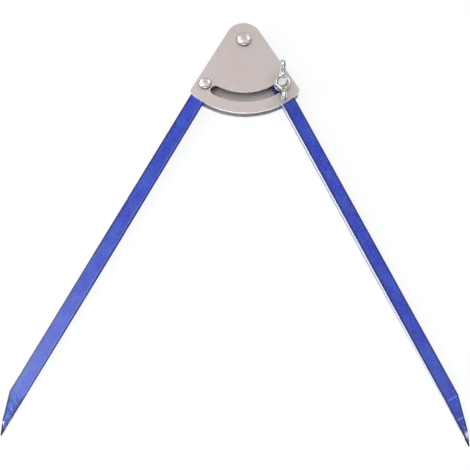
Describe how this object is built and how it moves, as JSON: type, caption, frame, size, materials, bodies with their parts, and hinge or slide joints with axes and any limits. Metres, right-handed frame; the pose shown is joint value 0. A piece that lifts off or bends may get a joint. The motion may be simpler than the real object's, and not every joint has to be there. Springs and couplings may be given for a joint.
{
  "type": "carpenters compass",
  "caption": "Large flat-bar marking compass: one leg riveted between two sector plates, the other swings on a pivot rivet and is locked in a curved slot by a wing nut.",
  "frame": {"origin": "on the pivot's axis, at the flat end of the pivot rivet's tail, the lowest plane of the part", "axes": "+X to the right, +Y up the sector plates' centre line, +Z out of the front, towards the wing nut"},
  "size_m": [0.4897, 0.4849, 0.039],
  "materials": {
    "brushed_stainless_sheet": "brushed",
    "blue_enamel_on_steel": "semi-gloss enamel",
    "bright_steel_rivet": "polished",
    "zinc_plated_steel": "zinc plated",
    "zinc_plated_casting": "zinc plated casting"
  },
  "bodies": {
    "frame_assembly": {"front_sector_plate": "brushed_stainless_sheet", "rear_sector_plate": "brushed_stainless_sheet", "fixed_leg": "blue_enamel_on_steel", "pivot_rivet": "bright_steel_rivet", "fixed_leg_rivet": "bright_steel_rivet"},
    "swing_leg_assembly": {"swing_leg": "blue_enamel_on_steel", "lock_stud": "zinc_plated_steel"},
    "washer": {"clamp_washer": "zinc_plated_steel"},
    "nut": {"wing_nut": "zinc_plated_casting"}
  },
  "joints": [
    {"name": "leg_pivot", "type": "hinge", "parent": "frame_assembly", "child": "swing_leg_assembly", "pos_m": [0, 0, 0.0097], "axis": [0, 0, 1], "range_deg": [-56.5, 3.5]},
    {"name": "nut_lift", "type": "slide", "parent": "swing_leg_assembly", "child": "washer", "axis": [0, 0, 1], "range_m": [0, 0.0031]},
    {"name": "nut_turn", "type": "hinge", "parent": "washer", "child": "nut", "pos_m": [0.04195, -0.05728, 0.0197], "axis": [0, 0, 1], "range_deg": [0, 720]}
  ],
  "couplings": [
    {"joint": "nut_lift", "follows": "nut_turn", "m_per_rad": 0.00023873}
  ]
}
